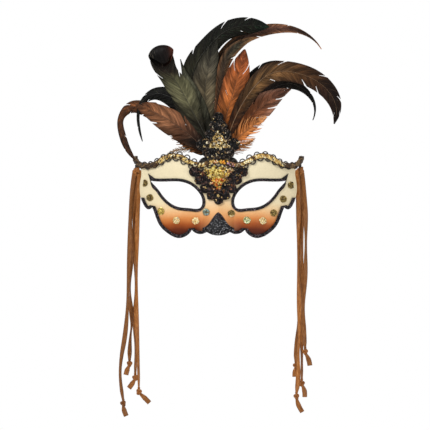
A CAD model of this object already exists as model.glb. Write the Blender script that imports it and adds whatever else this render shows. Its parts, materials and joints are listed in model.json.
"""The looks of a Venetian half mask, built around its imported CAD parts.

Metres, in the CAD frame: +X to the right seen from the front, +Z up, and the mask looks along -Y.
"""

import bisect
import json
import math
import random

import bpy
from mathutils import Matrix, Vector
from mathutils.bvhtree import BVHTree


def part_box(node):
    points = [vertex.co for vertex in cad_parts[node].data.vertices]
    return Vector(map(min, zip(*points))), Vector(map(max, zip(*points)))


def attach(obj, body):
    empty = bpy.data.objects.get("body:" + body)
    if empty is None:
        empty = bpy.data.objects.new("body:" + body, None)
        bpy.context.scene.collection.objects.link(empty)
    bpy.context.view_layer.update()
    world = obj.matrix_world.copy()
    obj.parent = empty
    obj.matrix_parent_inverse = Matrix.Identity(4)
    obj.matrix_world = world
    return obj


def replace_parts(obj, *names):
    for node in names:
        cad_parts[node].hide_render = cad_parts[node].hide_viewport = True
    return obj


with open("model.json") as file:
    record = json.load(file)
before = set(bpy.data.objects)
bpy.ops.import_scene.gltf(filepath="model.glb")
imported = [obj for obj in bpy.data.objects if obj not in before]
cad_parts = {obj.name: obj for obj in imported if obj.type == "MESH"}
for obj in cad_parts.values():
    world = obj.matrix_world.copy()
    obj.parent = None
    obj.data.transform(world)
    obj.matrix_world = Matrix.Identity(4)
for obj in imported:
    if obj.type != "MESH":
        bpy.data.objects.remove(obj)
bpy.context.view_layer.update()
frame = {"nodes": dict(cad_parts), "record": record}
NODES = frame["nodes"]
MM = 0.001
FRONT = Vector((0, -1, 0))
UP = Vector((0, 0, 1))
TURN = 2 * math.pi


# --- small tools ----------------------------------------------------------------------------------
def rgb(red, green, blue):
    """A colour of 0 to 255 as a screen shows it, turned into the linear colour a shader takes."""
    linear = []
    for value in (red, green, blue):
        value /= 255
        linear.append(value / 12.92 if value <= 0.04045 else ((value + 0.055) / 1.055) ** 2.4)
    return (*linear, 1.0)


def clamp(value, low=0.0, high=1.0):
    return max(low, min(high, value))


def mix(low, high, share):
    return low + (high - low) * share


class Graph:
    """A material with a Principled shader, and short calls for the nodes that feed it."""

    def __init__(self, name, **sockets):
        self.material = bpy.data.materials.new(name)
        self.material.use_nodes = True
        self.tree = self.material.node_tree
        self.shader = self.tree.nodes["Principled BSDF"]
        for socket, value in sockets.items():
            self.shader.inputs[socket.replace("_", " ")].default_value = value

    def feed(self, socket, value):
        """Links a socket to a node's output, or sets it to a number or to a colour of 0 to 255."""
        if isinstance(value, bpy.types.NodeSocket):
            self.tree.links.new(value, socket)
        else:
            socket.default_value = rgb(*value) if isinstance(value, tuple) else value

    def node(self, kind, inputs, output=0, **settings):
        """One output of a new node."""
        made = self.tree.nodes.new("ShaderNode" + kind)
        for name, value in settings.items():
            setattr(made, name, value)
        for key, value in inputs.items():
            self.feed(made.inputs[key], value)
        return made.outputs[output]

    def place(self):
        """The point in the CAD frame, for a piece at rest."""
        return self.node("TexCoord", {}, "Object")

    def part(self, vector, axis):
        """The X, Y or Z of a vector, or the red, green or blue of a colour."""
        return self.node("SeparateXYZ", {0: vector}, "XYZ".index(axis))

    def xyz(self, *parts):
        return self.node("CombineXYZ", dict(enumerate(parts)))

    def attribute(self, name, output="Fac"):
        return self.node("Attribute", {}, output, attribute_name=name)

    def math(self, operation, first, second=0.0):
        return self.node("Math", {0: first, 1: second}, operation=operation)

    def times(self, value, *others):
        for other in others:
            value = self.math("MULTIPLY", value, other)
        return value

    def remap(self, value, low, high, to_low=0.0, to_high=1.0, **settings):
        inputs = {"Value": value, "From Min": low, "From Max": high, "To Min": to_low, "To Max": to_high}
        return self.node("MapRange", inputs, **settings)

    def ease(self, value, low, high):
        """Like remap, with soft ends."""
        return self.remap(value, low, high, interpolation_type="SMOOTHSTEP")

    def noise(self, scale, vector=None, detail=2.0, roughness=0.5):
        inputs = {"Vector": vector or self.place(), "Scale": scale, "Detail": detail, "Roughness": roughness}
        return self.node("TexNoise", inputs)

    def ramp(self, value, *stops):
        """A colour that follows a value, from stops of a place and a colour."""
        made = self.tree.nodes.new("ShaderNodeValToRGB")
        self.feed(made.inputs[0], value)
        elements = made.color_ramp.elements
        while len(elements) < len(stops):
            elements.new(0.5)
        for element, (place, colour) in zip(elements, stops):
            element.position = place
            element.color = rgb(*colour)
        return made.outputs[0]

    def blend(self, share, first, second, mode="MIX"):
        return self.node("Mix", {0: share, 6: first, 7: second}, 2, data_type="RGBA", blend_type=mode)

    def shade(self, colour, amount):
        """A colour times a number."""
        grey = self.node("CombineColor", dict.fromkeys(range(3), amount))
        return self.blend(1.0, colour, grey, "MULTIPLY")

    def bump(self, height, distance, strength=0.8):
        inputs = {"Height": height, "Distance": distance, "Strength": strength}
        self.feed(self.shader.inputs["Normal"], self.node("Bump", inputs))

    def colour(self, value):
        self.feed(self.shader.inputs["Base Color"], value)

    def rough(self, value):
        self.feed(self.shader.inputs["Roughness"], value)


def speckled(name, scale, detail, low, high, depth, strength=0.8, grain=None, **sockets):
    """A material of two colours parted by a fine noise. That noise is its bump too, or a grain is."""
    made = Graph(name, **sockets)
    shade = made.noise(scale, detail=detail)
    made.colour(made.ramp(shade, low, high))
    made.bump(made.noise(grain[0], detail=grain[1]) if grain else shade, depth, strength)
    return made.material


class Soup:
    """Vertices, faces, per-vertex values and tints gathered from many small shapes into one piece."""

    def __init__(self, *keys):
        self.vertices, self.faces, self.tints = [], [], []
        self.values = {key: [] for key in keys}

    def add(self, shape, tint=None, **values):
        """Takes in a shape's vertices and faces, with one tint for all of it or a list of tints."""
        vertices, faces = shape
        start = len(self.vertices)
        self.vertices += vertices
        self.faces += [tuple(start + i for i in face) for face in faces]
        if isinstance(tint, list):
            self.tints += [channel for one in tint for channel in rgb(*one)]
        elif tint:
            self.tints += rgb(*tint) * len(vertices)
        for key, value in values.items():
            self.values[key] += value if isinstance(value, list) else [value] * len(vertices)

    def point(self, place, *values):
        """Takes in one vertex with its values, in the order of their keys."""
        self.vertices.append(place)
        for held, value in zip(self.values.values(), values):
            held.append(value)

    def piece(self, name, material, slot, body="mask", smooth=True):
        """A mesh piece that rides on a CAD body."""
        mesh = bpy.data.meshes.new(name)
        mesh.from_pydata([tuple(v) for v in self.vertices], [], self.faces)
        for key, values in self.values.items():
            mesh.attributes.new(key, "FLOAT", "POINT").data.foreach_set("value", values)
        if self.tints:
            mesh.color_attributes.new("tint", "FLOAT_COLOR", "POINT").data.foreach_set("color", self.tints)
        mesh.materials.append(material)
        mesh.polygons.foreach_set("use_smooth", [smooth] * len(mesh.polygons))
        piece = bpy.data.objects.new(name, mesh)
        bpy.context.scene.collection.objects.link(piece)
        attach(piece, body)
        return piece


def thicken(piece, thickness, offset=-1.0):
    skin = piece.modifiers.new("thickness", "SOLIDIFY")
    skin.thickness, skin.offset = thickness, offset


class Surface:
    """A CAD node's skin, met from the front."""

    def __init__(self, node):
        mesh = NODES[node].data
        self.tree = BVHTree.FromPolygons([v.co for v in mesh.vertices], [list(p.vertices) for p in mesh.polygons])

    def hit(self, x, z):
        """The point and the normal where a line along +Y meets the skin, or (None, None)."""
        return self.tree.ray_cast(Vector((x, -0.3, z)), -FRONT)[:2]

    def point(self, near, lift=0.0):
        """The skin in front of or behind a point, or past the node's edge level with its nearest part."""
        found = self.hit(near.x, near.z)[0]
        if found is None:
            found = self.tree.find_nearest(near)[0]
        return Vector((near.x, found.y - lift, near.z))


def front_loops(node):
    """The closed edges, longest first, of the part of a CAD node that faces the front."""
    mesh = NODES[node].data
    welded, index, points = {}, [], []
    for vertex in mesh.vertices:
        key = tuple(round(c * 1e5) for c in vertex.co)
        if key not in welded:
            welded[key] = len(points)
            points.append(vertex.co.copy())
        index.append(welded[key])
    free = set()
    for polygon in mesh.polygons:
        if polygon.normal.y > -0.1:
            continue
        ids = [index[v] for v in polygon.vertices]
        for a, b in zip(ids, ids[1:] + ids[:1]):
            if (b, a) in free:
                free.remove((b, a))
            elif a != b:
                free.add((a, b))
    follow = {}
    for a, b in sorted(free):
        follow.setdefault(a, []).append(b)
    loops = []
    while follow:
        here = start = next(iter(follow))
        loop = []
        while here in follow:
            loop.append(points[here])
            after = follow[here].pop()
            if not follow[here]:
                del follow[here]
            here = after
            if here == start:
                break
        loops.append(loop)
    return sorted(loops, key=lambda loop: -path_length(loop + loop[:1]))


def path_length(points):
    return sum((b - a).length for a, b in zip(points, points[1:]))


def even(points, count):
    """Points at even steps along a line of points."""
    total = path_length(points)
    made, travelled, i = [points[0].copy()], 0.0, 0
    for k in range(1, count):
        wanted = total * k / (count - 1)
        while i < len(points) - 2 and travelled + (points[i + 1] - points[i]).length < wanted:
            travelled += (points[i + 1] - points[i]).length
            i += 1
        run = points[i + 1] - points[i]
        made.append(points[i] + run * clamp((wanted - travelled) / max(run.length, 1e-9)))
    return made


def blade(node, root, count):
    """The middle line of a long flat node from its root to its tip, and its left and right edges beside it."""
    loop = front_loops(node)[0]
    turns = []
    for i, point in enumerate(loop):
        into = point - loop[i - 1]
        out = loop[(i + 1) % len(loop)] - point
        turn = Vector((into.x, into.z)).angle(Vector((out.x, out.z)), 0.0)
        turns.append((turn, i))
    corners = sorted(i for _, i in sorted(turns, reverse=True)[:4])
    ends = [(loop[a] + loop[b]) / 2 for a, b in zip(corners, corners[1:] + corners[:1])]
    first = min(range(4), key=lambda k: math.hypot(ends[k].x - root[0], ends[k].z - root[1]))
    order = [corners[(first + k) % 4] for k in range(4)]

    def chain(a, b):
        return loop[a:b + 1] if b > a else loop[a:] + loop[:b + 1]

    one = even(chain(order[1], order[2]), count)
    other = even(list(reversed(chain(order[3], order[0]))), count)
    middle = [(a + b) / 2 for a, b in zip(one, other)]
    return middle, one, other


class Line:
    """A line of even points that can be read at any share of its length."""

    def __init__(self, values):
        self.values = values

    def at(self, share):
        place = clamp(share) * (len(self.values) - 1)
        i = min(int(place), len(self.values) - 2)
        return self.values[i] * (1 - place + i) + self.values[i + 1] * (place - i)


def sleeve(rings, sides, closed=False):
    """The faces of a tube of so many rings, and its two end faces last, unless it closes on itself."""
    faces = []
    for i in range(rings if closed else rings - 1):
        a, b = i * sides, (i + 1) % rings * sides
        faces += [(a + k, a + (k + 1) % sides, b + (k + 1) % sides, b + k) for k in range(sides)]
    if not closed:
        faces.append(tuple(reversed(range(sides))))
        faces.append(tuple((rings - 1) * sides + k for k in range(sides)))
    return faces


def tube(points, radii, sides=8, closed=False, flat=1.0):
    """A tube along a line, with one radius or one for each point. flat squeezes it front to back."""
    vertices, count = [], len(points)
    for i, point in enumerate(points):
        before = points[i - 1] if closed or i else point
        after = points[(i + 1) % count] if closed or i < count - 1 else point
        along = (after - before).normalized()
        side = along.cross(FRONT).normalized()
        out = side.cross(along).normalized()
        radius = radii if isinstance(radii, float) else radii[i]
        for k in range(sides):
            turn = TURN * k / sides
            vertices.append(point + side * (radius * math.cos(turn)) + out * (radius * flat * math.sin(turn)))
    return vertices, sleeve(count, sides, closed)


def tangents(normal, spin):
    """Two directions at right angles to a normal and to each other, turned about it."""
    side = normal.cross(UP if abs(normal.z) < 0.9 else FRONT).normalized()
    side.rotate(Matrix.Rotation(spin, 3, normal))
    return side, normal.cross(side)


def tilted(normal, draw, amount):
    """A normal that leans a random way."""
    lean = Vector((draw.uniform(-1, 1), draw.uniform(-1, 1), draw.uniform(-1, 1)))
    return (normal + lean * amount).normalized()


def dress(node, material):
    """A CAD node that stays as it is, with a new material."""
    NODES[node].data.materials.clear()
    NODES[node].data.materials.append(material)


# --- camera, light and floor ----------------------------------------------------------------------
CAMERA_PLACE = (-0.0034, -3.1, -0.0156)
LIGHTS = {  # place, size and power
    "key": ((-0.75, -1.25, 1.05), 0.5, 17),
    "fill": ((1.1, -1.3, 0.15), 1.0, 6),
    "back": ((0.1, 1.2, 0.9), 0.8, 7),
}
SURROUND_LIGHT = 0.5  # how brightly the white surround lights the mask
FLOOR_RADIUS = 0.75
FLOOR_HEIGHT = -0.33
FLOOR_SIDES = 96


def make_stage():
    """A far camera square on to the mask, three soft lights, a white surround and a pale floor."""
    scene = bpy.context.scene

    def place_object(name, data, place, turn=(0, 0, 0)):
        made = bpy.data.objects.new(name, data)
        made.location, made.rotation_euler = place, turn
        scene.collection.objects.link(made)
        return made

    camera = bpy.data.cameras.new("camera")
    camera.lens, camera.sensor_width, camera.clip_end = 250, 36, 20
    scene.camera = place_object("camera", camera, CAMERA_PLACE, (math.radians(90), 0, 0))
    scene.view_settings.view_transform = "Standard"
    for name, (place, size, power) in LIGHTS.items():
        light = bpy.data.lights.new(name, "AREA")
        light.shape, light.size, light.energy = "DISK", size, power
        place_object(name, light, place, (-Vector(place)).to_track_quat("-Z", "Y").to_euler())

    scene.world = bpy.data.worlds.new("studio")
    scene.world.use_nodes = True
    nodes, link = scene.world.node_tree.nodes, scene.world.node_tree.links.new
    seen, light = nodes["Background"], nodes.new("ShaderNodeBackground")
    seen.inputs[0].default_value = light.inputs[0].default_value = (1, 1, 1, 1)
    light.inputs[1].default_value = SURROUND_LIGHT
    share = nodes.new("ShaderNodeMixShader")
    link(nodes.new("ShaderNodeLightPath").outputs["Is Camera Ray"], share.inputs[0])
    link(light.outputs[0], share.inputs[1])
    link(seen.outputs[0], share.inputs[2])
    link(share.outputs[0], nodes["World Output"].inputs[0])

    mesh = bpy.data.meshes.new("floor")
    angles = [TURN * k / FLOOR_SIDES for k in range(FLOOR_SIDES)]
    ring = [(FLOOR_RADIUS * math.cos(a), FLOOR_RADIUS * math.sin(a), FLOOR_HEIGHT) for a in angles]
    mesh.from_pydata(ring, [], [tuple(range(FLOOR_SIDES))])
    paint = Graph("floor_paint", Roughness=0.75)
    paint.colour(paint.ramp(paint.noise(6), (0.3, (236, 234, 230)), (0.7, (243, 241, 237))))
    mesh.materials.append(paint.material)
    place_object("floor", mesh, (0, 0, 0))


make_stage()


# --- ribbons --------------------------------------------------------------------------------------
# The line of each tail seen from the front, in millimetres, as the CAD part has it, then the point
# that the free end below the knot reaches, and the tail's real length.
TAILS = {
    "left_a": ([(-88.0, 28.6), (-90.6, 12), (-92.4, -14), (-92.8, -46), (-94.6, -80), (-95.2, -114),
                (-97.5, -142), (-102.4, -168), (-103.2, -190), (-99.6, -210)], (-96.3, -226.5), 0.2396),
    "left_b": ([(-84.4, 28.6), (-87.8, 10), (-88.8, -20), (-90.6, -52), (-93.2, -84), (-92.4, -108),
                (-90.4, -128), (-93.2, -148), (-93.4, -169)], (-97.2, -184), 0.1982),
    "left_c": ([(-86.6, 28.6), (-85.6, 8), (-86.6, -24), (-87.8, -60), (-86.3, -96), (-88.4, -130),
                (-86.8, -160), (-87.6, -184)], (-94.3, -198.6), 0.2127),
    "left_d": ([(-82.8, 28.6), (-83.6, 6), (-85.4, -26), (-85.6, -60), (-86.2, -94), (-86.0, -128),
                (-83.9, -164), (-83.4, -198)], (-72.2, -213), 0.2267),
    "right_a": ([(88.0, 28.6), (90.4, 12), (92.0, -16), (92.1, -48), (91.4, -82), (89.0, -114),
                 (89.8, -138), (91.2, -156)], (96.1, -173.7), 0.1849),
    "right_b": ([(86.2, 28.6), (87.8, 8), (88.9, -24), (88.4, -60), (86.0, -96), (84.2, -128),
                 (82.4, -150), (81.7, -171)], (80.7, -186), 0.1999),
    "right_c": ([(84.4, 28.6), (85.8, 8), (86.2, -26), (86.8, -62), (87.6, -98), (86.9, -132),
                 (88.4, -162), (88.2, -190)], (91.3, -208), 0.2187),
    "right_d": ([(83.0, 28.6), (84.0, 6), (84.6, -28), (84.2, -64), (84.9, -100), (85.6, -134),
                 (83.6, -164), (84.5, -188), (82.2, -203)], (88.4, -222.7), 0.2318),
}
LAYER_OF = {"a": -1.5, "b": 0.5, "c": 1.5, "d": -0.5}
# How far each tail turns about its line, in how many waves, and where the first wave starts.
TWISTS = {
    "left_a": (1.0, 1.3, 0.6), "left_b": (-1.2, 1.7, 1.9), "left_c": (1.1, 1.4, 3.1), "left_d": (-1.0, 1.1, 4.4),
    "right_a": (-1.0, 1.5, 0.9), "right_b": (1.2, 1.2, 2.2), "right_c": (-1.1, 1.8, 3.5), "right_d": (1.0, 1.3, 5.0),
}
RIBBON_WIDTH = 5.0
HINGE_X = 86.0
HINGE_Y = 41.0
HINGE_Z = 31.5
TAIL_TOP = 28.6
TAIL_PITCH = 1.2  # distance between neighbouring tails at the top
TAIL_FAN = 1.5  # degrees between neighbouring tails
RIBBON_VALUES = ("across", "along", "tone")
SHARES = [k / 3 - 1 for k in range(7)]  # places across a ribbon, from edge to edge
KNOT_DROP = 3.35  # from the end of a tail to the middle of its knot
KNOT_STEPS = 60
KNOT_SIDES = 10
FOLD_STEPS = 16


def hang(layer, x, z):
    """The point of one tail's plane at a place seen from the front, in millimetres."""
    tilt = math.radians(layer * TAIL_FAN)
    down = z - TAIL_TOP
    y = HINGE_Y + layer * TAIL_PITCH - math.sin(tilt) * down
    return Vector((x, y, TAIL_TOP + math.cos(tilt) * down)) * MM


def satin():
    """Brown satin ribbon: fine lengthwise threads, darker folds and paler rubbed streaks."""
    made = Graph("ribbon_satin", Roughness=0.36, Specular_IOR_Level=0.3)
    across, along, tone = (made.attribute(key) for key in RIBBON_VALUES)
    streak = made.noise(2.2, made.xyz(made.times(across, 3.2), made.times(along, 9.0), tone), 3.0, 0.6)
    base = made.ramp(streak, (0.3, (76, 36, 8)), (0.43, (138, 82, 32)), (0.6, (162, 104, 50)),
                     (0.74, (206, 154, 100)))
    edge = made.remap(made.math("ABSOLUTE", across), 0.8, 1.0)
    base = made.blend(made.times(edge, 0.6), base, (92, 48, 20))
    made.colour(made.shade(base, made.remap(made.math("FRACT", made.times(tone, 0.31)), 0.0, 1.0, 0.7, 1.28)))
    threads = made.xyz(made.times(across, 14.0), made.times(along, 30.0))
    made.bump(made.noise(3.0, threads, 1.0), 0.00012, 0.6)
    made.rough(made.remap(streak, 0.2, 0.8, 0.28, 0.5))
    return made.material


RIBBON_PAINT = satin()


def nurbs_points(name, route):
    """The smooth line that a limp ribbon follows through its route."""
    curve = bpy.data.curves.new(name, "CURVE")
    curve.dimensions = "3D"
    spline = curve.splines.new("NURBS")
    spline.points.add(len(route) - 1)
    for point, place in zip(spline.points, route):
        point.co = (*place, 1)
    spline.order_u = 3
    spline.use_endpoint_u = True
    spline.resolution_u = 14
    holder = bpy.data.objects.new(name, curve)
    bpy.context.scene.collection.objects.link(holder)
    bpy.context.view_layer.update()
    mesh = bpy.data.meshes.new_from_object(holder.evaluated_get(bpy.context.evaluated_depsgraph_get()))
    points = [v.co.copy() for v in mesh.vertices]
    bpy.data.objects.remove(holder)
    bpy.data.curves.remove(curve)
    bpy.data.meshes.remove(mesh)
    return points


def strip(soup, points, widths, turns, tone):
    """A ribbon along a line, a little cupped: its width and its turn about the line at each point."""
    cup, thick = 0.35 * MM, 0.36 * MM
    vertices, across, along, travelled = [], [], [], 0.0
    for i, point in enumerate(points):
        ahead = (points[min(i + 1, len(points) - 1)] - points[max(i - 1, 0)]).normalized()
        side = ahead.cross(FRONT).normalized()
        face = side.cross(ahead).normalized()
        cos, sin = math.cos(turns[i]), math.sin(turns[i])
        wide, flat = side * cos + face * sin, face * cos - side * sin
        if i:
            travelled += (point - points[i - 1]).length
        for level, row in ((0.5, SHARES), (-0.5, SHARES[::-1])):
            for share in row:
                lift = cup * (1 - share * share) + thick * level * (1 - 0.5 * share * share)
                vertices.append(point + wide * (share * widths[i] / 2) + flat * lift)
                across.append(share)
                along.append(travelled * 10)
    faces = sleeve(len(points), 2 * len(SHARES))
    soup.add((vertices, faces), across=across, along=along, tone=tone)


def make_tail(name, route, free_end, length, number):
    """One hanging ribbon with its overhand knot and the short end below the knot."""
    side, letter = name.split("_")
    body, layer = f"{side}_ribbons", LAYER_OF[letter]
    points = nurbs_points(f"line_{name}", [hang(layer, x, z) for x, z in route])
    share = [i / (len(points) - 1) for i in range(len(points))]
    most, waves, phase = TWISTS[name]
    turns = [most * clamp(0.3 + s * 3.0) * math.sin(phase + TURN * waves * s) for s in share]
    widths = [RIBBON_WIDTH * MM * (1 - 0.45 * clamp((s - 0.97) / 0.03)) for s in share]
    soup = Soup(*RIBBON_VALUES)
    strip(soup, points, widths, turns, number * 7.3)
    tail = soup.piece(f"ribbon_{name}", RIBBON_PAINT, "ribbon", body)
    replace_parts(tail, f"ribbon_tail_{name}")

    knot = make_knot(name, layer, route[-1], free_end, number, body)
    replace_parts(knot, f"ribbon_knot_{name}")


def make_knot(name, layer, end, free_end, number, body):
    """An overhand knot pulled tight in the ribbon, and the cut end that flares below it."""
    draw = random.Random(900 + number)
    middle = (end[0], end[1] - KNOT_DROP)
    soup = Soup(*RIBBON_VALUES)
    lean = draw.uniform(-0.4, 0.4)
    line = []
    for k in range(KNOT_STEPS):
        t = TURN * k / KNOT_STEPS
        x = (math.sin(t) + 2 * math.sin(2 * t)) * 0.72
        z = (math.cos(t) - 2 * math.cos(2 * t)) * 0.86
        x, z = x * math.cos(lean) - z * math.sin(lean), x * math.sin(lean) + z * math.cos(lean)
        line.append(hang(layer, middle[0] + x, middle[1] + z) + FRONT * (1.15 * math.sin(3 * t) * MM))
    loop = tube(line, 1.12 * MM, KNOT_SIDES, closed=True, flat=0.75)
    count = range(len(loop[0]))
    around = [math.sin(TURN * (k % KNOT_SIDES) / KNOT_SIDES) for k in count]
    soup.add(loop, across=around, along=[k / KNOT_STEPS for k in count], tone=number * 3.1)

    quarters = [k / 4 for k in range(5)]
    neck = [hang(layer, mix(end[0], middle[0], s), mix(end[1] + 1.4, middle[1], s)) for s in quarters]
    strip(soup, neck, [mix(2.9, 2.0, s) * MM for s in quarters], [0.0] * 5, number * 7.3)

    bow = draw.uniform(-1.2, 1.2)
    eighths = [k / 8 for k in range(9)]
    points = [hang(layer, mix(middle[0], free_end[0], s) + bow * math.sin(math.pi * s),
                   mix(middle[1] - 1.0, free_end[1], s)) for s in eighths]
    widths = [mix(2.2, RIBBON_WIDTH * 1.05, clamp(2 * s)) * MM for s in eighths]
    twist = draw.uniform(-0.7, 0.7)
    strip(soup, points, widths, [twist * s for s in eighths], number * 5.7)
    return soup.piece(f"knot_{name}", RIBBON_PAINT, "ribbon", body)


def make_fold(side, sign):
    """The tops of four tails, each drawn narrow and looped over the eye behind one temple."""
    soup = Soup(*RIBBON_VALUES)
    for k, letter in enumerate(sorted(LAYER_OF, key=lambda letter: (abs(LAYER_OF[letter]), letter))):
        layer = LAYER_OF[letter]
        front = 1 if layer < 0 else -1
        radius = 1.45 + 0.6 * k
        top = hang(layer, TAILS[f"{side}_{letter}"][0][0][0], TAIL_TOP)
        over = Vector((sign * HINGE_X + (k - 1.5) * 0.9, HINGE_Y, HINGE_Z)) * MM
        points = [top + Vector((0, 0, -2.2 * MM)), top + Vector((0, -0.1 * MM, -0.8 * MM))]
        for i in range(FOLD_STEPS + 1):
            turn = math.pi * (1.12 * i / FOLD_STEPS - 0.06)
            place = over + Vector((0, -front * math.cos(turn), math.sin(turn))) * radius * MM
            place.x = mix(top.x, over.x, clamp(i / 5))
            points.append(place)
        points.append(points[-1] + Vector((0, 0, -1.2 * MM)))
        fold_strip(soup, points, over, k)
    fold = soup.piece(f"fold_{side}", RIBBON_PAINT, "ribbon", f"{side}_ribbons")
    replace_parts(fold, f"tie_fold_{side}")


def fold_strip(soup, points, hub, number):
    """A ribbon along a line that bends in a plane across X, with its inner face towards the hub."""
    vertices, across, along = [], [], []
    for i, point in enumerate(points):
        out = point - hub
        out.x = 0
        out.normalize()
        width = mix(RIBBON_WIDTH, 3.1 + 0.3 * number, clamp(i / 6)) * MM
        crease = 0.3 * math.sin(0.3 * math.sin(0.5 * i + number) * 4)
        for level, row in ((0.0, SHARES[::-1]), (0.34, SHARES)):
            for share in row:
                lift = level + 0.3 * (1 - share * share) + crease * share
                vertices.append(point + Vector((share * width / 2, 0, 0)) + out * lift * MM)
                across.append(share)
                along.append(i / 8)
    ring, faces = 2 * len(SHARES), []
    for a in range(0, (len(points) - 1) * ring, ring):
        for k, m in zip(range(ring), (*range(1, ring), 0)):
            faces.append((a + k, a + ring + k, a + ring + m, a + m))
    soup.add((vertices, faces), across=across, along=along, tone=number * 2.9)


for tail_number, (tail_name, tail) in enumerate(TAILS.items()):
    make_tail(tail_name, *tail, tail_number)
for tie_side, tie_sign in (("left", -1), ("right", 1)):
    make_fold(tie_side, tie_sign)


# --- feathers -------------------------------------------------------------------------------------
# For each feather: its colours from root to tip, the colour of its edge and how far that shows, how
# loose its barbs are, how green it shines, and its quill's colour.
LOOKS = {
    "curled_head": (((0.0, (30, 24, 15)), (0.3, (54, 48, 32)), (0.5, (116, 112, 82)), (0.64, (92, 90, 64)),
        (0.76, (38, 29, 22)), (0.88, (22, 13, 12)), (1.0, (62, 32, 26))), (40, 38, 28), 0.6, 0.2, 0.12, (54, 52, 40)),
    "great_arc": (((0.0, (94, 50, 20)), (0.2, (86, 48, 22)), (0.36, (112, 80, 46)), (0.5, (120, 86, 52)),
        (0.64, (90, 58, 32)), (0.8, (44, 26, 17)), (1.0, (13, 9, 7))), (50, 30, 20), 0.85, 0.06, 0.05,
        (138, 104, 70)),
    "down_right": (((0.0, (120, 68, 34)), (0.4, (178, 104, 50)), (0.8, (196, 124, 68)), (1.0, (212, 150, 96))),
        (214, 152, 98), 0.8, 0.95, 0.0, (120, 75, 42)),
    "copper_center": (((0.0, (88, 46, 20)), (0.35, (148, 82, 32)), (0.6, (180, 102, 52)), (0.78, (172, 92, 46)),
        (0.92, (132, 66, 34)), (1.0, (96, 50, 28))), (112, 60, 32), 0.6, 0.24, 0.0, (128, 76, 42)),
    "brown_left": (((0.0, (30, 20, 14)), (0.25, (50, 32, 22)), (0.45, (116, 74, 50)), (0.62, (152, 102, 70)),
        (0.85, (122, 76, 46)), (1.0, (88, 56, 36))), (90, 56, 38), 0.45, 0.36, 0.0, (92, 62, 42)),
    "dark_left": (((0.0, (24, 22, 16)), (0.5, (54, 50, 36)), (1.0, (40, 38, 27))), (26, 24, 18), 0.6, 0.2, 0.2,
        (46, 44, 34)),
    "green_spike": (((0.0, (36, 34, 26)), (0.5, (56, 54, 40)), (0.75, (96, 96, 76)), (1.0, (38, 36, 28))),
        (32, 30, 24), 0.6, 0.14, 0.15, (50, 48, 38)),
    "dark_inner": (((0.0, (44, 28, 18)), (0.4, (70, 46, 30)), (0.7, (66, 52, 38)), (0.85, (60, 56, 42)),
        (1.0, (130, 94, 60))), (160, 108, 70), 0.45, 0.06, 0.1, (58, 40, 28)),
    "green_broad": (((0.0, (40, 34, 24)), (0.35, (72, 64, 46)), (0.55, (100, 88, 66)), (0.75, (84, 78, 64)),
        (0.9, (48, 46, 38)), (1.0, (30, 28, 22))), (38, 36, 28), 0.6, 0.24, 0.08, (56, 52, 40)),
    "mauve_center": (((0.0, (110, 70, 44)), (0.4, (146, 104, 82)), (0.8, (160, 130, 116)), (1.0, (178, 156, 146))),
        (186, 166, 156), 0.45, 0.28, 0.0, (120, 90, 70)),
    "tall_coque": (((0.0, (18, 14, 8)), (0.35, (26, 23, 13)), (0.5, (44, 41, 27)), (0.7, (18, 14, 9)),
        (0.9, (17, 15, 9)), (1.0, (12, 32, 20))), (9, 8, 5), 0.65, 0.1, 0.22, (44, 42, 32)),
    "mauve_right": (((0.0, (146, 80, 32)), (0.4, (156, 90, 48)), (0.75, (134, 86, 62)), (1.0, (100, 66, 54))),
        (190, 148, 128), 0.45, 0.38, 0.0, (120, 76, 52)),
    "orange_left": (((0.0, (108, 60, 36)), (0.5, (158, 92, 52)), (1.0, (184, 120, 76))), (206, 146, 100), 0.7, 0.75,
        0.0, (120, 72, 44)),
    "long_tip": (((0.0, (34, 26, 20)), (0.55, (48, 34, 26)), (0.72, (112, 74, 58)), (0.84, (70, 44, 34)),
        (0.94, (36, 22, 18)), (1.0, (196, 116, 50))), (214, 150, 98), 0.35, 0.05, 0.12, (58, 40, 32)),
    "black_arc": (((0.0, (24, 19, 14)), (1.0, (20, 16, 12))), (12, 10, 9), 0.5, 0.04, 0.1, (30, 26, 22)),
    "hooked_black": (((0.0, (24, 18, 14)), (0.5, (30, 20, 16)), (1.0, (10, 8, 8))), (10, 8, 8), 0.5, 0.03, 0.1,
        (26, 22, 18)),
    "small_left": (((0.0, (96, 70, 46)), (0.5, (128, 96, 66)), (1.0, (188, 154, 118))), (202, 168, 130), 0.6, 0.8,
        0.0, (90, 66, 44)),
    "down_low_right": (((0.0, (150, 90, 46)), (0.6, (196, 124, 66)), (1.0, (214, 156, 102))), (220, 164, 112), 0.7,
        0.95, 0.0, (130, 80, 46)),
    "black_left": (((0.0, (22, 19, 14)), (0.5, (20, 17, 15)), (1.0, (10, 8, 8))), (10, 9, 8), 0.5, 0.05, 0.12,
        (26, 23, 19)),
    "loop": (((0.0, (92, 56, 32)), (0.35, (120, 74, 42)), (0.55, (104, 62, 34)), (0.75, (82, 48, 26)),
        (1.0, (48, 28, 18))), (44, 26, 16), 0.7, 0.03, 0.0, (70, 44, 28)),
}
BULGE = {"curled_head": 2.0}  # how far the vane rolls forward near its end
ENDS = {"curled_head": 0.93}  # the share of its blade that a vane fills
WIDER = {"loop": 1.35, "hooked_black": 1.15}  # times its blade's width
PLUME_ROOT = (0.0, 0.046)
BARB_VALUES = ("along", "reach", "tone", "barb")
BARB_COLUMNS = 8
TONE_STEP = 2.4 * MM  # the length of quill over which the barbs keep their tone
SIDES = (-1, 1)


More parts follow.
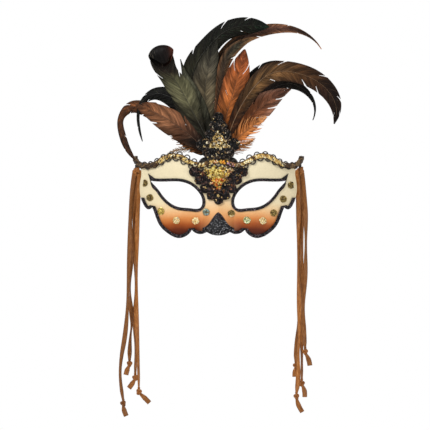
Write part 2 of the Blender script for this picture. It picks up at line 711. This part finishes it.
def feather_paint(name, stops, edge, edge_share, green, seed):
    """Barbs with a colour that runs from root to tip, fine streaks along each barb, and a soft shine."""
    made = Graph(f"{name}_barbs", Specular_IOR_Level=0.11)
    along, reach, tone, barb = (made.attribute(key) for key in BARB_VALUES)

    def streaks(fineness, bend, shift, roughness):
        """Noise drawn out along the barbs."""
        lane = made.xyz(made.times(barb, fineness), made.times(reach, bend), seed * shift)
        return made.noise(1.0, lane, roughness=roughness)

    streak, patch, broad = streaks(2600.0, 3.0, 4.7, 0.65), streaks(420.0, 1.6, 1.3, 0.5), streaks(46.0, 0.9, 2.9, 0.6)
    base = made.blend(made.times(made.remap(reach, 0.45, 1.0), edge_share), made.ramp(along, *stops), edge)
    if green:
        base = made.blend(made.times(made.remap(patch, 0.48, 0.72), green), base, (24, 58, 40))
    dark = made.times(
        made.remap(streak, 0.3, 0.7, 0.42, 1.2), made.remap(tone, 0.0, 1.0, 0.5, 1.45),
        made.remap(patch, 0.3, 0.7, 0.6, 1.4), made.remap(broad, 0.34, 0.66, 0.5, 1.45),
        made.remap(along, 0.05, 0.45, 0.34, 1.0))
    glint = made.times(made.remap(streak, 0.6, 0.72), made.remap(patch, 0.46, 0.62), 0.3)
    made.colour(made.blend(glint, made.shade(base, dark), made.blend(0.55, base, (236, 222, 196))))
    made.rough(made.remap(patch, 0.3, 0.7, 0.38, 0.62))
    made.bump(streak, 0.0004, 0.9)
    return made.material


def partings(draw, length, loose):
    """Where one side of a vane has come apart: how far up the quill and out each gap starts, and its width."""
    spacing = mix(36, 1.5, clamp(loose * 1.3)) * MM
    found, place = [], draw.uniform(0.3, 0.9) * spacing
    while place < length * 0.97:
        found.append((place / length, draw.uniform(mix(0.5, 0.12, loose), mix(0.9, 0.45, loose)),
                      draw.uniform(0.4, 1.0)))
        place += spacing * draw.uniform(0.5, 1.5)
    return found


def parted(gaps, share, reach, length):
    """How far along the quill a barb leans away from the gaps beside it, and which strand it belongs to."""
    strand = sum(1 for gap in gaps if gap[0] < share)
    push = 0.0
    for i in (strand - 1, strand):
        if not 0 <= i < len(gaps):
            continue
        place, start, width = gaps[i]
        other = gaps[i + 1][0] if i < strand and i + 1 < len(gaps) else gaps[i - 1][0] if i >= strand and i else None
        window = 9 * MM if other is None else min(9 * MM, abs(other - place) * length / 2)
        near = 1 - abs(share - place) * length / window
        if near > 0 and reach > start:
            amount = min(1.5 * MM, 0.75 * window) * width * near * ((reach - start) / (1 - start)) ** 1.5
            push += amount if share > place else -amount
    return push / length, strand


def slot_of(node):
    """The material slot that the record gives a node."""
    for subpart in frame["record"]["subparts"]:
        if subpart["node"] == node:
            return subpart["material_slot"]
    raise ValueError(f"the record has no subpart {node}")


def make_feather(name, number):
    """One feather: a vane of barbs on each side of a quill, in the space of its CAD blade."""
    stops, edge, edge_share, loose, green, quill_colour = LOOKS[name]
    node, end, bulge = f"{name}_feather", ENDS.get(name, 1.0), BULGE.get(name, 0.0) * MM
    draw, surface = random.Random(100 + number), Surface(node)
    middle, left, right = blade(node, PLUME_ROOT, 90)
    length = path_length(middle)
    spine, left, right = Line(middle), Line(left), Line(right)
    rows = int(length / (mix(0.8, 0.42, loose) * MM)) + 2
    gaps = {side: partings(draw, length, loose) for side in SIDES}
    strands = {side: [(draw.random(), draw.random(), draw.uniform(-1, 1)) for _ in range(len(gaps[side]) + 1)]
               for side in SIDES}
    tones = {side: [draw.random() for _ in range(int(length / TONE_STEP) + 3)] for side in SIDES}

    def swell(share):
        return bulge * math.sin(math.pi * clamp((share - 0.68) / 0.32))

    soup, grid, strand_of = Soup(*BARB_VALUES), {}, {}
    for i in range(rows):
        share = mix(0.02, end, i / (rows - 1))
        for j in range(-BARB_COLUMNS, BARB_COLUMNS + 1):
            side = -1 if j < 0 else 1
            reach = abs(j) / BARB_COLUMNS
            push, strand = parted(gaps[side], share, reach, length)
            short, light, lean = strands[side][strand]
            half = (right.at(share) - left.at(share)).length / 2
            sweep = min(mix(1.5, 0.9, loose) * half, 0.8 * (1 - share) * length) * reach ** 1.15 / length
            lean *= mix(0.0, 2.4, loose) * MM / length * reach * reach
            place = clamp(share + sweep + push + lean, 0.0, end)
            worn = mix(0.0, 0.34, loose) * short * clamp((1 - share) * 12)
            fray = (1 - worn + mix(0.0, 0.2, loose) * light) * WIDER.get(name, 1.0)
            base = spine.at(place)
            barb = (right if side > 0 else left).at(place) - base
            point = base + barb * reach * fray
            cell = share * length / TONE_STEP
            sag = min(0.16 * barb.length * reach * reach * mix(1.0, 0.6, loose), 1.6 * MM)
            ripple = 0.22 * MM * math.sin(2.1 * cell + 3 * side) * reach * clamp((point.z - 0.05) / 0.05)
            point.y = surface.point(point).y + 0.2 * MM + sag + ripple - swell(place) * (1 - reach * reach)
            tone = mix(tones[side][int(cell)], tones[side][int(cell) + 1], cell % 1.0)
            tone = mix(tone, light, clamp(loose * 1.5 - 0.3)) - 0.14 * side
            grid[i, j] = len(soup.vertices)
            strand_of[i, side] = strand
            soup.point(point, place, reach, tone, share * length + side * 0.3)
    for i in range(rows - 1):
        for j in range(-BARB_COLUMNS, BARB_COLUMNS):
            side = -1 if j < 0 else 1
            outer = max(abs(j), abs(j + 1)) / BARB_COLUMNS
            strand = strand_of[i, side]
            if strand == strand_of[i + 1, side] or outer <= gaps[side][strand][1]:
                soup.faces.append((grid[i, j], grid[i + 1, j], grid[i + 1, j + 1], grid[i, j + 1]))
    slot = slot_of(node)
    vane = soup.piece(f"{name}_vane", feather_paint(name, stops, edge, edge_share, green, number), slot)
    thicken(vane, 0.12 * MM, 0.0)
    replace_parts(vane, node)

    shares = [0.96 * end * i / 69 for i in range(70)]
    line = [surface.point(spine.at(share), swell(share) - 0.1 * MM) for share in shares]
    thick = clamp(length / 0.15, 0.5, 1.0)
    quill = Soup()
    quill.add(tube(line, [mix(0.85, 0.1, share ** 0.5) * thick * MM * 0.8 for share in shares], 6))
    root = tuple(channel * 0.7 for channel in quill_colour)
    paint = speckled(f"{name}_quill", 350, 3.0, (0.35, root), (0.65, quill_colour), 0.00005, 0.5, Roughness=0.4)
    quill.piece(f"{name}_shaft", paint, slot)


CURL_MIDDLE = (-59.4, 149.2)
CURL_SIZE = (13.4, 5.6, 12.2)  # half its width, depth and height
CURL_LEAN = math.radians(14)
CURL_COLOURS = ((0.0, (22, 19, 16)), (0.5, (30, 22, 19)), (0.8, (46, 25, 20)), (1.0, (120, 62, 44)))


def make_curl():
    """The end of the curled feather, rolled forward over its own tip."""
    half_width, half_depth, half_height = CURL_SIZE
    middle = Surface("curled_head_feather").point(Vector((CURL_MIDDLE[0], 0, CURL_MIDDLE[1])) * MM, half_depth * MM)
    soup = Soup(*BARB_VALUES)
    rows, columns = 70, 34
    draw = random.Random(77)
    notches = [draw.random() for _ in range(columns + 1)]
    for i in range(rows + 1):
        s = i / rows
        turn = math.radians(mix(-70, 238, s))
        shrink = 1 - 0.16 * s
        width = half_width * math.sqrt(max(0.0, 1 - ((s - 0.42) / 0.64) ** 2))
        for j in range(columns + 1):
            u = -1 + 2 * j / columns
            ragged = 1 - 0.05 * notches[j] * clamp((s - 0.8) * 5)
            round_off = shrink * math.sqrt(max(0.04, 1 - 0.9 * u * u))
            place = Vector((u * width + 1.6 * s, half_depth * math.cos(turn) * round_off,
                            half_height * math.sin(turn) * round_off * ragged))
            place.rotate(Matrix.Rotation(-CURL_LEAN, 3, "Y"))
            tone = 0.35 + 0.5 * notches[j] + 0.3 * clamp(math.sin(turn))
            soup.point(middle + place * MM, clamp(0.5 + 0.5 * u), s, tone, (u * width + 20) * MM * 0.6)
    for i in range(rows):
        for j in range(columns):
            a = i * (columns + 1) + j
            soup.faces.append((a, a + 1, a + columns + 2, a + columns + 1))
    paint = feather_paint("curl", CURL_COLOURS, (16, 10, 10), 0.5, 0.06, 31)
    thicken(soup.piece("curled_head_roll", paint, "green_feather"), 0.16 * MM, 0.0)


for feather_number, feather_name in enumerate(LOOKS):
    make_feather(feather_name, feather_number)
make_curl()


# --- the shell ------------------------------------------------------------------------------------
SPRAYED = (  # the paint from the lower edge up, over 60 mm
    (0.0, (60, 16, 2)), (0.1, (102, 38, 6)), (0.2, (162, 80, 30)), (0.29, (210, 130, 66)),
    (0.38, (230, 170, 112)), (0.48, (237, 202, 152)), (0.62, (238, 221, 182)), (1.0, (237, 223, 187)),
)


def shell_paint():
    """Cream paint that turns copper and then dark sienna towards the lower edge, over papier-mache."""
    made = Graph("painted_papier_mache", Specular_IOR_Level=0.22)
    place = made.place()
    x_mm = made.times(made.math("ABSOLUTE", made.part(place, "X")), 1000.0)
    z_mm = made.times(made.part(place, "Z"), 1000.0)
    outside = made.math("MAXIMUM", made.math("SUBTRACT", x_mm, 45.0), 0.0)
    height = made.math("ADD", z_mm, made.math("ADD", made.times(outside, 0.16), 36.5))
    height = made.math("ADD", height, made.times(made.math("SUBTRACT", made.noise(60), 0.5), 5.0))
    sprayed = made.ramp(made.math("DIVIDE", height, 60.0), *SPRAYED)
    nose = made.times(made.ease(x_mm, 24.0, 2.0), made.ease(z_mm, 16.0, -10.0), 0.5)
    sprayed = made.blend(nose, sprayed, (234, 176, 118))
    sprayed = made.shade(sprayed, made.remap(made.noise(900, detail=4.0), 0.3, 0.7, 0.94, 1.04))
    inside = made.remap(made.part(made.node("NewGeometry", {}, "Normal"), "Y"), -0.02, 0.12)
    raw = made.ramp(made.noise(140, detail=6.0), (0.3, (196, 182, 150)), (0.7, (228, 218, 192)))
    made.colour(made.blend(inside, sprayed, raw))
    made.rough(made.remap(inside, 0.0, 1.0, 0.42, 0.85))
    made.bump(made.noise(420, detail=4.0), 0.00018, 0.55)
    return made.material


dress("mask_shell", shell_paint())

# --- glitter --------------------------------------------------------------------------------------
CHARCOAL = ((9, 9, 9), (18, 18, 18), (36, 36, 37), (92, 93, 95))
GOLD = ((120, 92, 40), (196, 156, 76), (240, 205, 120), (255, 236, 170))
OLD_GOLD = ((96, 76, 36), (150, 120, 60), (206, 168, 88))
FLAKE_SIDES = 5


def glitter_paint(name, colours, metallic, scale=1500, shine=0.5):
    """Packed glitter flakes: each cell has a tone of its own and a slightly tilted face."""
    made = Graph(name, Roughness=0.42, Metallic=metallic, Specular_IOR_Level=shine)
    cells = {"Vector": made.place(), "Scale": scale}
    pick = made.part(made.node("TexVoronoi", cells, "Color"), "X")
    stops = [(k / (len(colours) - 1), colour) for k, colour in enumerate(colours)]
    made.colour(made.ramp(made.math("POWER", pick, 1.6), *stops))
    made.rough(made.remap(pick, 0.0, 1.0, 0.55, 0.25))
    made.bump(made.math("ADD", pick, made.node("TexVoronoi", cells, "Distance")), 0.00025)
    return made.material


def flake_paint(name, metallic, roughness=0.25, shine=0.5):
    """Loose flakes that carry their own tint."""
    made = Graph(name, Roughness=roughness, Metallic=metallic, Specular_IOR_Level=shine)
    made.colour(made.attribute("tint", "Color"))
    return made.material


def triangles_of(node):
    """The front-facing triangles of a CAD node, each with the area of those up to it."""
    mesh = NODES[node].data
    mesh.calc_loop_triangles()
    found, total = [], 0.0
    for triangle in mesh.loop_triangles:
        if triangle.normal.y <= -0.15:
            total += triangle.area
            found.append((total, [mesh.vertices[v].co for v in triangle.vertices], triangle.normal.copy()))
    return found


def make_flakes(node, per_mm2, size, colour_of, seed, material, slot):
    """Small flat flakes stuck over a painted area at slightly different tilts."""
    draw = random.Random(seed)
    triangles = triangles_of(node)
    sums = [triangle[0] for triangle in triangles]
    soup = Soup()
    for _ in range(int(sums[-1] * 1e6 * per_mm2)):
        _, (a, b, c), normal = triangles[min(bisect.bisect(sums, draw.random() * sums[-1]), len(sums) - 1)]
        u, v = draw.random(), draw.random()
        if u + v > 1:
            u, v = 1 - u, 1 - v
        point = a + (b - a) * u + (c - a) * v
        side, up = tangents(tilted(normal, draw, 0.45), draw.uniform(0, 6.28))
        centre = point + normal * 0.00012
        r = size * draw.uniform(0.7, 1.2)
        turns = [TURN * k / FLAKE_SIDES for k in range(FLAKE_SIDES)]
        ring = [centre + side * (r * math.cos(t)) + up * (r * math.sin(t)) for t in turns]
        soup.add((ring, [tuple(range(FLAKE_SIDES))]), colour_of(point, draw))
    soup.piece(f"{node}_flakes", material, slot, smooth=False)


def charcoal_flake(point, draw):
    """Black grains with a bright one now and then, plum on the bridge of the nose and grey on its tip."""
    value = draw.choice((8, 14, 18, 24, 34, 48, 90, 235))
    on_tip = abs(point.x) < 0.016 and point.z < -0.02
    return (value, value, value + 5) if on_tip else (value * 0.7 + 4, value * 0.6, value * 0.64 + 2)


def dot_flake(point, draw):
    """The spots are not all one colour: olive by the temples, pale gold below, and two with a cold shine."""
    x, z = point.x / MM, point.z / MM
    if -16 < x < 0:
        return draw.choice(((70, 110, 130), (130, 170, 180), (190, 200, 160), (60, 50, 40)))
    if 26 < x < 34:
        return draw.choice(((240, 235, 170), (70, 170, 110), (250, 250, 220), (150, 120, 60)))
    if abs(x) < 50 and z < -16:
        return draw.choice(((250, 214, 120), (255, 240, 190), (206, 140, 60), (255, 246, 210)))
    if -64 < x < -54:
        return draw.choice(((226, 196, 90), (190, 160, 70), (150, 120, 50), (240, 220, 130)))
    return draw.choice(((70, 54, 30), (120, 98, 50), (206, 178, 100), (48, 38, 24)))


BLACK_FLAKES = flake_paint("charcoal_flakes", 0.3, 0.35, 0.25)
BRIGHT_FLAKES = flake_paint("bright_flakes", 0.55, 0.3)
CHARCOAL_PAINT = glitter_paint("charcoal_glitter", CHARCOAL, 0.15, shine=0.15)
for trim_number, trim in enumerate(("eye_rim_left", "eye_rim_right", "lower_edge_bead", "nose_patch")):
    dress(trim, CHARCOAL_PAINT)
    make_flakes(trim, 2.2, 0.27 * MM, charcoal_flake, 300 + trim_number, BLACK_FLAKES, "black_glitter")
for spots, spots_seed in (("glitter_dots_left", 324), ("glitter_dots_right", 325)):
    dress(spots, glitter_paint(f"{spots}_paint", OLD_GOLD, 0.4, 1300))
    make_flakes(spots, 4.5, 0.42 * MM, dot_flake, spots_seed, BRIGHT_FLAKES, "gold_glitter")


# --- braid ----------------------------------------------------------------------------------------
BRAID_WAVE = 7.6 * MM
BRAID_ROOT = (-0.09, 0.046)
EDGE_THREADS = ((36, 26, 18), (70, 50, 32), (110, 84, 50))
PICOTS = 21
PICOT_STEPS = 26


def braid_tint(x, draw):
    """The metallic threads change colour along the brow."""
    x = x / MM + draw.uniform(-3, 3)
    if draw.random() < (0.34 if x < 20 else 0.18):
        return draw.choice(((60, 42, 26), (92, 66, 38), (34, 24, 16)))
    if -4 < x < 8:
        return draw.choice(((230, 150, 40), (246, 190, 70), (214, 110, 36), (250, 214, 110)))
    if 8 <= x < 17:
        return draw.choice(((190, 150, 170), (214, 180, 190), (150, 100, 110), (200, 150, 90)))
    if 17 <= x < 26:
        return draw.choice(((150, 120, 96), (120, 92, 60), (200, 184, 150)))
    if abs(x) > 66:
        return draw.choice(((92, 70, 46), (130, 104, 68), (76, 54, 34), (60, 44, 30)))
    return draw.choice(((236, 210, 140), (206, 168, 92), (252, 240, 200), (170, 128, 66), (226, 190, 110)))


def make_braid():
    """Gimp braid: three thick metallic strands plaited in waves between two thinner edge cords."""
    dress("braid_band", speckled("braid_ground", 1400, 3.0, (0.35, (26, 18, 12)), (0.65, (62, 42, 26)), 0.0002,
                                 grain=(2400, 2.0), Roughness=0.7))
    middle, upper, lower = blade("braid_band", BRAID_ROOT, 320)
    waves = round(path_length(middle) / BRAID_WAVE)
    spine, upper, lower = Line(middle), Line(upper), Line(lower)
    surface, draw, soup = Surface("braid_band"), random.Random(41), Soup()

    def lay(steps, across_at, lift_at, radius_at, sides, run, tint_of):
        """One strand along the braid, with a new tint every few rings."""
        points, tints = [], []
        for i in range(steps + 1):
            s = i / steps
            across = (upper.at(s) - lower.at(s)) / 2
            points.append(surface.point(spine.at(s) + across * across_at(s), lift_at(s) * MM))
        for i, point in enumerate(points):
            tint = tint if i % run else tint_of(point)
            tints += [tint] * sides
        soup.add(tube(points, [radius_at(i) * MM for i in range(steps + 1)], sides), tints)

    for k in range(3):
        lay(waves * 16, lambda s: 0.62 * math.sin(TURN * (waves * s + k / 3)),
            lambda s: 0.3 + 0.55 * (1 + math.cos(2 * TURN * (waves * s + k / 3))),
            lambda i: 0.72 + 0.18 * math.sin(i * 0.8), 7, 4, lambda point: braid_tint(point.x, draw))
    for side in SIDES:
        lay(waves * 12, lambda s: side * (0.92 + 0.08 * math.sin(2 * TURN * waves * s)), lambda s: 0.1,
            lambda i: 0.46, 6, 5, lambda point: draw.choice(EDGE_THREADS))
    soup.piece("braid_strands", flake_paint("metallic_thread", 0.4, 0.32), "gold_braid")
    return spine, upper, lower


def make_loops(spine, upper, lower):
    """The row of small cord loops along each edge of the braid."""
    within = [i / 400 for i in range(401) if abs(spine.at(i / 400).x) <= 0.082]
    for label, edge in (("upper", 1), ("lower", -1)):
        node = f"braid_loops_{label}"
        surface, draw, soup = Surface(node), random.Random(52 + edge), Soup()
        for i in range(PICOTS):
            s = mix(within[0], within[-1], (i + 0.5) / PICOTS)
            low, top = sorted((upper.at(s), lower.at(s)), key=lambda place: place.z)
            across = (top - low).normalized() * edge
            centre = spine.at(s) + across * (2.7 + draw.uniform(-0.3, 0.3)) * MM
            along = Vector((across.z, 0, -across.x))
            r = (2.85 + draw.uniform(-0.2, 0.25)) * MM
            ring = []
            for k in range(PICOT_STEPS):
                t = TURN * k / PICOT_STEPS
                point = centre + along * (r * math.cos(t)) + across * (r * math.sin(t) * 0.95)
                point.y = centre.y
                ring.append(surface.point(point, 0.1 * MM))
            soup.add(tube(ring, 0.6 * MM, 6, closed=True))
        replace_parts(soup.piece(f"picots_{label}", CORD_PAINT, "black_cord"), node)


CORD_PAINT = speckled("black_picot_cord", 1800, 3.0, (0.35, (12, 9, 8)), (0.7, (44, 34, 28)), 0.00012,
                      Roughness=0.55, Sheen_Weight=0.2)
make_loops(*make_braid())


# --- sequins and beads ----------------------------------------------------------------------------
CUP_SIDES = 8
PEARL_RINGS, PEARL_SIDES = 3, 7


def cup(centre, normal, radius, spin):
    """A cupped sequin: two rings and a middle point."""
    side, up = tangents(normal, spin)
    depth, vertices, faces = radius * 0.3, [], []
    for r, lift in ((0.35, -depth), (1.0, 0.0)):
        for k in range(CUP_SIDES):
            t = TURN * k / CUP_SIDES
            vertices.append(centre + (side * math.cos(t) + up * math.sin(t)) * radius * r + normal * lift)
    vertices.append(centre - normal * depth)
    for k in range(CUP_SIDES):
        m = (k + 1) % CUP_SIDES
        faces += [(k, CUP_SIDES + k, CUP_SIDES + m, m), (2 * CUP_SIDES, k, m)]
    return vertices, faces


def pearl(centre, radius):
    """A small round bead."""
    vertices, faces = [centre + FRONT * radius], []
    for i in range(1, PEARL_RINGS + 1):
        polar = math.pi * i / (PEARL_RINGS + 1)
        for k in range(PEARL_SIDES):
            t = TURN * k / PEARL_SIDES
            vertices.append(centre + FRONT * (radius * math.cos(polar))
                            + Vector((math.cos(t), 0, math.sin(t))) * radius * math.sin(polar))
    vertices.append(centre - FRONT * radius)
    last = len(vertices) - 1
    for k in range(PEARL_SIDES):
        m = (k + 1) % PEARL_SIDES
        faces.append((0, 1 + k, 1 + m))
        for i in range(PEARL_RINGS - 1):
            a, b = 1 + i * PEARL_SIDES, 1 + (i + 1) * PEARL_SIDES
            faces.append((a + k, b + k, b + m, a + m))
        faces.append((last, last - PEARL_SIDES + m, last - PEARL_SIDES + k))
    return vertices, faces


def sequin_field(node, pitch, radius, colour_of, seed, finish, tilt=0.5, beads=0.5, area=None):
    """Overlapping sequins, some with a bead in the middle, all over one node or one area of it."""
    draw, surface, soup = random.Random(seed), Surface(node), Soup()
    low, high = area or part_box(node)
    row, z = 0, low.z
    while z <= high.z:
        x = low.x + (pitch / 2 if row % 2 else 0)
        while x <= high.x:
            point, normal = surface.hit(x + draw.uniform(-0.25, 0.25) * pitch, z + draw.uniform(-0.25, 0.25) * pitch)
            x += pitch
            if point is None or normal.y > -0.2:
                continue
            face = tilted(normal, draw, tilt)
            centre = point + normal * draw.uniform(0.15, 0.7) * MM
            size = radius * draw.uniform(0.85, 1.15)
            soup.add(cup(centre, face, size, draw.uniform(0, 6)), colour_of(point, draw))
            if draw.random() < beads:
                bead = pearl(centre + face * 0.25 * MM, radius * draw.uniform(0.34, 0.46))
                soup.add(bead, colour_of(point, draw))
        z += pitch * 0.87
        row += 1
    thicken(soup.piece(f"{node}_sequins_{seed}", *finish), 0.05 * MM)


def bead_edge(node, colour_of, seed):
    """Seed beads threaded along the scalloped edge of an applique."""
    draw, soup = random.Random(seed), Soup()
    loop = front_loops(node)[0]
    loop = loop + loop[:1]
    line = even(loop, int(path_length(loop) / (1.55 * MM)) + 1)[:-1]
    centre = sum(line, Vector()) / len(line)
    for point in line:
        inward = centre - point
        inward.y = 0
        place = point + inward.normalized() * (0.5 * MM) + FRONT * 0.35 * MM
        soup.add(pearl(place, 0.75 * MM * draw.uniform(0.88, 1.12)), colour_of(point, draw))
    soup.piece(f"{node}_beads", *BLACK_FINISH)


def plum_black(point, draw):
    """Plum-black sequins with a brown or gold one now and then, more of them beside the gold."""
    x, z = abs(point.x / MM), point.z / MM
    if x < 0.62 * (z - 9) and draw.random() < 0.75:
        return brow_gold(point, draw)
    near = clamp(1 - (x + abs(z - 24) - 18) / 12)
    if draw.random() < 0.04 + 0.14 * near:
        return draw.choice(((210, 176, 110), (150, 108, 60), (236, 200, 150), (110, 66, 40)))
    return draw.choice(((14, 9, 9), (22, 15, 15), (34, 24, 22), (18, 13, 13), (86, 62, 54), (9, 6, 6)))


def crest_black(point, draw):
    """Black sequins and beads with gold ones scattered towards the middle."""
    near = clamp(1.25 - math.hypot(point.x / MM, (point.z / MM - 60) * 0.8) / 16)
    if draw.random() < 0.04 + 0.24 * near:
        return draw.choice(((140, 112, 74), (210, 184, 130), (240, 226, 190), (84, 60, 38)))
    return draw.choice(((9, 6, 5), (16, 11, 9), (28, 20, 16), (8, 6, 5), (96, 82, 70), (13, 9, 8)))


def brow_gold(point, draw):
    """Gold and green-yellow on the left, orange-red towards the point, pink-brown on the right."""
    x, z = point.x / MM, point.z / MM
    if draw.random() < 0.26:
        return draw.choice(((60, 40, 22), (90, 62, 30), (36, 24, 16), (255, 244, 200)))
    if z < 22 and draw.random() < 0.6:
        return draw.choice(((226, 110, 30), (240, 140, 50), (190, 70, 24), (246, 190, 70)))
    if x > 5 and draw.random() < 0.6:
        return draw.choice(((170, 110, 70), (196, 140, 96), (140, 90, 50), (226, 190, 130)))
    return draw.choice(((226, 190, 84), (190, 156, 60), (250, 230, 140), (160, 130, 50)))


def brow_centre(point, draw):
    """Gold inside the triangle, plum-black around its point."""
    inside = abs(point.x / MM) < 0.62 * (point.z / MM - 9) + draw.uniform(0, 2.5)
    return brow_gold(point, draw) if inside else plum_black(point, draw)


def top_of_brow(point, draw):
    """Gold in the middle and black at both ends."""
    return brow_gold(point, draw) if abs(point.x / MM) < draw.uniform(10, 17) else plum_black(point, draw)


def crest_gold(point, draw):
    """Pale gold broken up by black."""
    if draw.random() < 0.42:
        return draw.choice(((24, 18, 14), (44, 34, 24), (70, 54, 34)))
    return draw.choice(((206, 176, 112), (240, 226, 186), (166, 134, 78), (190, 180, 160)))


BLACK_FINISH = (flake_paint("black_sequin", 0.15, 0.22, 0.3), "black_sequins")
GOLD_FINISH = (flake_paint("gold_sequin", 0.5, 0.25), "gold_sequins")
BACKING = speckled("black_net_backing", 2200, 2.0, (0.4, (14, 12, 13)), (0.6, (38, 33, 36)), 0.0003, Roughness=0.8)
BROW_BLACK = ((12, 9, 11), (26, 20, 24), (44, 34, 40))
CREST_BLACK = ((10, 10, 10), (22, 21, 21), (44, 42, 40))
TOP_OF_BROW = (Vector((-0.0215, 0, 0.0295)), Vector((0.0215, 0, 0.0345)))
for applique, black in (("brow", BROW_BLACK), ("crest", CREST_BLACK)):
    dress(f"{applique}_backing", BACKING)
    dress(f"{applique}_sequins_black", glitter_paint(f"{applique}_black_ground", black, 0.1, 700, 0.2))
    dress(f"{applique}_sequins_gold", glitter_paint(f"{applique}_gold_ground", GOLD, 0.5, 900))
sequin_field("brow_sequins_black", 2.3 * MM, 1.5 * MM, plum_black, 61, BLACK_FINISH)
sequin_field("crest_sequins_black", 2.3 * MM, 1.45 * MM, crest_black, 62, BLACK_FINISH)
sequin_field("brow_sequins_gold", 1.7 * MM, 1.05 * MM, brow_centre, 63, GOLD_FINISH, beads=0.25)
sequin_field("crest_sequins_gold", 1.9 * MM, 1.05 * MM, crest_gold, 64, GOLD_FINISH, beads=0.3)
sequin_field("brow_sequins_gold", 4.2 * MM, 1.3 * MM, brow_centre, 67, GOLD_FINISH, tilt=0.9)
sequin_field("mask_shell", 1.9 * MM, 1.25 * MM, top_of_brow, 68, GOLD_FINISH, area=TOP_OF_BROW)
bead_edge("brow_sequins_black", plum_black, 65)
bead_edge("crest_sequins_black", crest_black, 66)


# --- behind the shell -----------------------------------------------------------------------------
dress("quill_block", speckled("hot_glue", 180, 4.0, (0.3, (150, 132, 96)), (0.7, (196, 182, 142)), 0.0008,
                              grain=(260, 3.0), Roughness=0.35, Subsurface_Weight=0.1))
dress("felt_cover", speckled("black_felt", 1500, 6.0, (0.35, (20, 19, 20)), (0.65, (46, 43, 44)), 0.0004, 0.9,
                             Roughness=0.95, Sheen_Weight=0.4))
for tie_eye in ("tie_eye_left", "tie_eye_right"):
    dress(tie_eye, CORD_PAINT)
